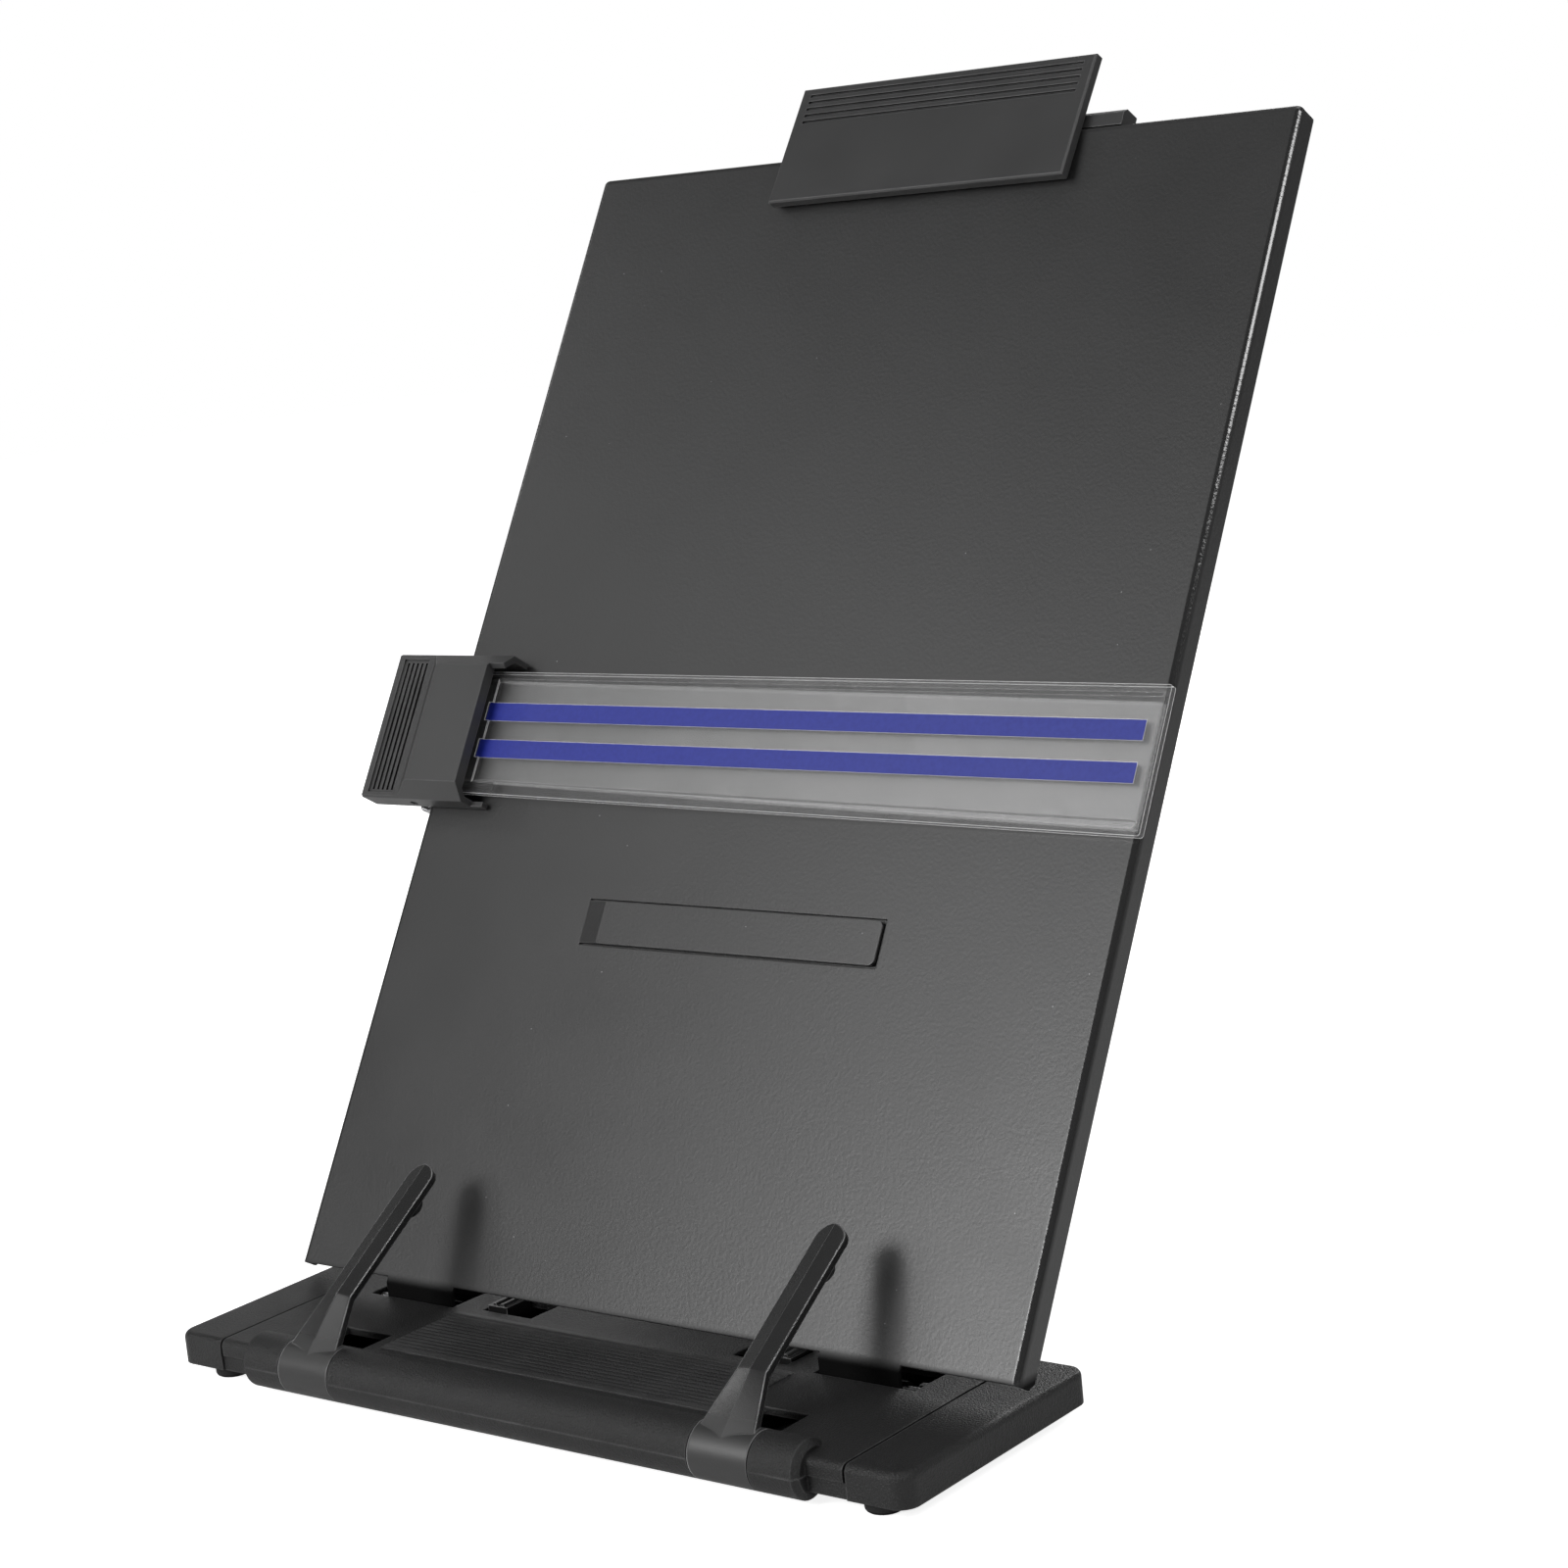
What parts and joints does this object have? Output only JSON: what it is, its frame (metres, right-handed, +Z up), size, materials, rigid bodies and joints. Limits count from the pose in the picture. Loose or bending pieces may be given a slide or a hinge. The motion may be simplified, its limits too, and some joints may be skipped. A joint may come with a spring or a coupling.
{
  "type": "copy holder",
  "caption": "Desk copy holder: leaning steel page panel hinged on a plastic base, with top clip, sliding clear line guide, swinging page arms and rear leg.",
  "frame": {"origin": "centre of the base's underside", "axes": "+Z up, -Y towards the reader, +X to the reader's right"},
  "size_m": [0.273, 0.2468, 0.3357],
  "materials": {
    "black_plastic": "fine matt black moulding",
    "black_steel": "satin black powder coat",
    "rubber": "black rubber",
    "steel": "bright steel",
    "clear": "clear acrylic",
    "blue_line": "printed violet-blue"
  },
  "bodies": {
    "base": {"base_top": "black_plastic", "base_bottom": "black_plastic", "end_cap_left": "black_plastic", "end_cap_right": "black_plastic", "ledge_pad": "rubber", "base_feet": "rubber", "base_screws": "steel", "arm_axle": "steel", "latch_spring_left": "steel", "latch_spring_right": "steel"},
    "panel": {"panel_sheet": "black_steel", "hinge_pins": "steel", "leg_bracket": "black_steel", "bracket_rivets": "steel", "leg_axle": "steel", "clip_bar": "black_plastic", "clip_screws": "steel", "clip_pin": "steel"},
    "clip": {"clip_jaw": "black_plastic", "clip_lip": "rubber", "clip_spring": "steel"},
    "guide": {"guide_carriage": "black_plastic", "guide_spring": "steel", "guide_pin": "steel"},
    "guide_block": {"guide_block": "black_plastic", "ruler": "clear", "ruler_lines": "blue_line", "ruler_clamp": "black_plastic", "clamp_screws": "steel"},
    "arm_left": {"arm_left": "black_plastic", "arm_pad_left": "rubber"},
    "arm_right": {"arm_right": "black_plastic", "arm_pad_right": "rubber"},
    "leg": {"leg_plate": "black_steel", "leg_foot": "rubber"},
    "latch_left": {"latch_left": "black_plastic", "latch_bolt_left": "steel"},
    "latch_right": {"latch_right": "black_plastic", "latch_bolt_right": "steel"}
  },
  "joints": [
    {"name": "panel_tilt", "type": "hinge", "parent": "base", "child": "panel", "pos_m": [0, 0.0113, 0.0058], "axis": [1, 0, 0], "range_deg": [-15, 15]},
    {"name": "guide_slide", "type": "slide", "parent": "panel", "child": "guide", "axis": [0, 0.521, 0.8536], "range_m": [-0.13, 0.15]},
    {"name": "guide_rock", "type": "hinge", "parent": "guide", "child": "guide_block", "pos_m": [-0.1275, 0.09044, 0.154], "axis": [0, -0.521, -0.8536], "range_deg": [0, 3]},
    {"name": "clip_open", "type": "hinge", "parent": "panel", "child": "clip", "pos_m": [0.0025, 0.19996, 0.31749], "axis": [-1, 0, 0], "range_deg": [0, 25], "stiffness_Nm_per_rad": 0.3, "springref_deg": -34.38},
    {"name": "arm_left_swing", "type": "hinge", "parent": "base", "child": "arm_left", "pos_m": [-0.0718, -0.0355, 0.0043], "axis": [1, 0, 0], "range_deg": [-10, 115]},
    {"name": "arm_right_swing", "type": "hinge", "parent": "base", "child": "arm_right", "pos_m": [0.0718, -0.0355, 0.0043], "axis": [1, 0, 0], "range_deg": [-10, 115]},
    {"name": "leg_swing", "type": "hinge", "parent": "panel", "child": "leg", "pos_m": [0, 0.07836, 0.10983], "axis": [1, 0, 0], "range_deg": [-40, 114]},
    {"name": "latch_left_slide", "type": "slide", "parent": "base", "child": "latch_left", "axis": [1, 0, 0], "range_m": [0, 0.0105], "stiffness_N_per_m": 200, "springref_m": -0.004, "deforming": ["latch_spring_left"]},
    {"name": "latch_right_slide", "type": "slide", "parent": "base", "child": "latch_right", "axis": [-1, 0, 0], "range_m": [0, 0.0105], "stiffness_N_per_m": 200, "springref_m": -0.004, "deforming": ["latch_spring_right"]}
  ]
}
